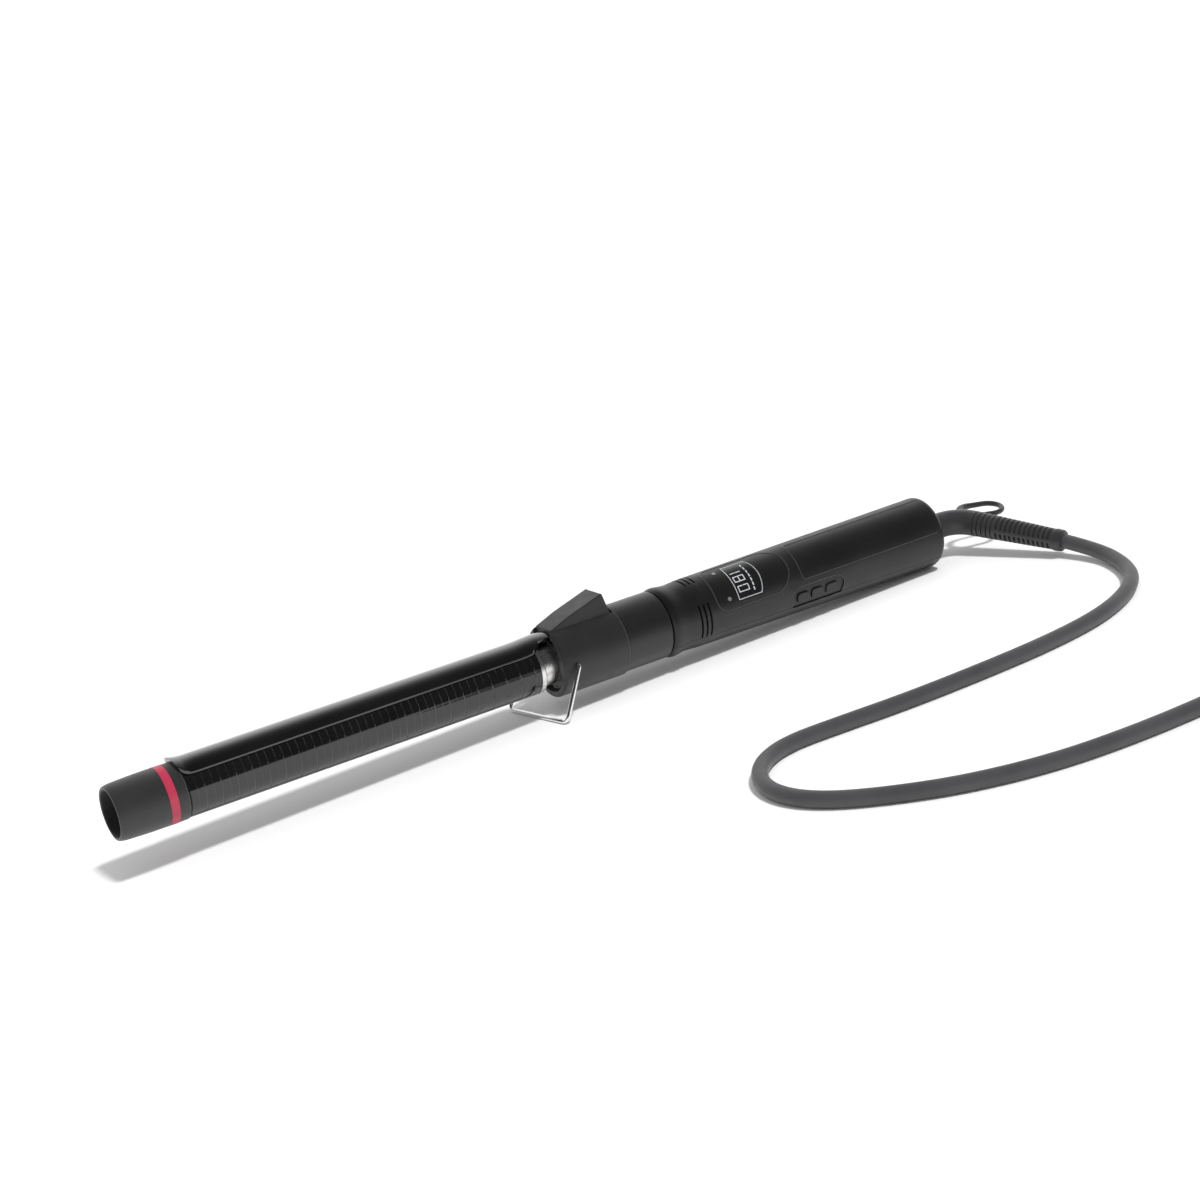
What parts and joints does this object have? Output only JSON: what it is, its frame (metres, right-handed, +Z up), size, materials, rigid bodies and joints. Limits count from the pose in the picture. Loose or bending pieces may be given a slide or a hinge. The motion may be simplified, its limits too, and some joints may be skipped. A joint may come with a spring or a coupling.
{
  "type": "curling iron",
  "caption": "Corded curling iron with a sprung barrel clip, wire stand, digital handle with push-buttons and a swivel cord with its plug.",
  "frame": {"origin": "on the surface the iron rests on, under the middle of the iron's own box, without the cord", "axes": "+X from the tip to the handle's end, +Z up with the iron resting on its stand and handle, -Y the side with the buttons"},
  "size_m": [0.438, 0.3685, 0.0438],
  "materials": {
    "tip_black": "fine matte moulded heat-resistant plastic",
    "band_red": "smooth satin moulded band",
    "barrel_black": "glossy black ceramic coating over turned grooves",
    "clip_black": "high-gloss black enamel",
    "ferrule_steel": "turned, bright at the edge",
    "sleeve_black": "fine spark-eroded texture",
    "neck_black": "satin",
    "handle_black": "soft-touch coating",
    "panel_black": "satin, a little smoother than the handle",
    "window_smoke": "smoked clear plastic",
    "light_lens": "tinted clear plastic",
    "button_black": "satin",
    "stand_chrome": "polished wire",
    "steel": "bright zinc plate",
    "spring_steel": "oiled spring wire",
    "aluminium": "extruded",
    "ceramic": "unglazed ceramic stood in for by plastic's density",
    "phenolic": "brown moulded phenolic",
    "wire_insulation": "glass-braided sleeve",
    "board_green": "solder-masked board",
    "component": "moulded electronic parts",
    "brass": "stamped",
    "cord_black": "matte flexible sheath",
    "relief_black": "matte flexible moulding",
    "tie_black": "woven hook-and-loop strap",
    "plug_black": "moulded",
    "plug_metal": "nickel-plated"
  },
  "bodies": {
    "iron": {"barrel_tube": "barrel_black", "cool_tip": "tip_black", "tip_band": "band_red", "tip_collar": "tip_black", "barrel_ferrule": "ferrule_steel", "insulator_bush": "phenolic", "heater_clamp_upper": "aluminium", "heater_clamp_lower": "aluminium", "heater_element": "ceramic", "temperature_sensor": "ceramic", "heater_leads": "wire_insulation", "front_sleeve": "sleeve_black", "sleeve_face_ring": "sleeve_black", "neck_sleeve": "neck_black", "hinge_pin": "steel", "handle_upper_shell": "handle_black", "handle_lower_shell": "handle_black", "shell_screws": "steel", "display_panel": "panel_black", "rear_cover": "panel_black", "display_window": "window_smoke", "indicator_lights": "light_lens", "lcd_module": "component", "circuit_board": "board_green", "power_components": "component", "tact_switches": "component", "button_board": "board_green", "button_pad": "button_black", "swivel_socket": "sleeve_black", "contact_brushes": "brass", "supply_leads": "wire_insulation"},
    "clip": {"clip_spoon": "clip_black", "clip_rivets": "steel", "thumb_lever": "sleeve_black", "torsion_spring": "spring_steel"},
    "stand": {"wire_stand": "stand_chrome"},
    "button_front": {"button_front": "button_black"},
    "button_middle": {"button_middle": "button_black"},
    "button_rear": {"button_rear": "button_black"},
    "cord_swivel": {"swivel_neck": "relief_black", "slip_rings": "brass", "retaining_ring": "steel", "strain_relief": "relief_black", "hanging_loop": "relief_black", "cord_tube": "cord_black", "cord_coil": "cord_black", "cord_tie": "tie_black", "cord_tail": "cord_black", "plug_boot": "plug_black", "plug_body": "plug_black", "plug_pins": "plug_metal"}
  },
  "joints": [
    {"name": "clip_hinge", "type": "hinge", "parent": "iron", "child": "clip", "pos_m": [-0.01336, 0.01558, 0.03216], "axis": [0, 1, 0], "range_deg": [0, 12], "stiffness_Nm_per_rad": 0.5, "springref_deg": -20.05, "deforming": ["torsion_spring"]},
    {"name": "stand_hinge", "type": "hinge", "parent": "iron", "child": "stand", "pos_m": [-0.01868, 0.01558, 0.02172], "axis": [0, 1, 0], "range_deg": [-71, 0]},
    {"name": "cord_swivel", "type": "hinge", "parent": "iron", "child": "cord_swivel", "pos_m": [0.17323, 0.01558, 0.01595], "axis": [0.9995, 0, -0.03], "continuous": true},
    {"name": "button_front_press", "type": "slide", "parent": "iron", "child": "button_front", "axis": [0.0099, 0.9438, 0.3304], "range_m": [0, 0.0005], "stiffness_N_per_m": 400},
    {"name": "button_middle_press", "type": "slide", "parent": "iron", "child": "button_middle", "axis": [0.0099, 0.9438, 0.3304], "range_m": [0, 0.0005], "stiffness_N_per_m": 400},
    {"name": "button_rear_press", "type": "slide", "parent": "iron", "child": "button_rear", "axis": [0.0099, 0.9438, 0.3304], "range_m": [0, 0.0005], "stiffness_N_per_m": 400}
  ]
}
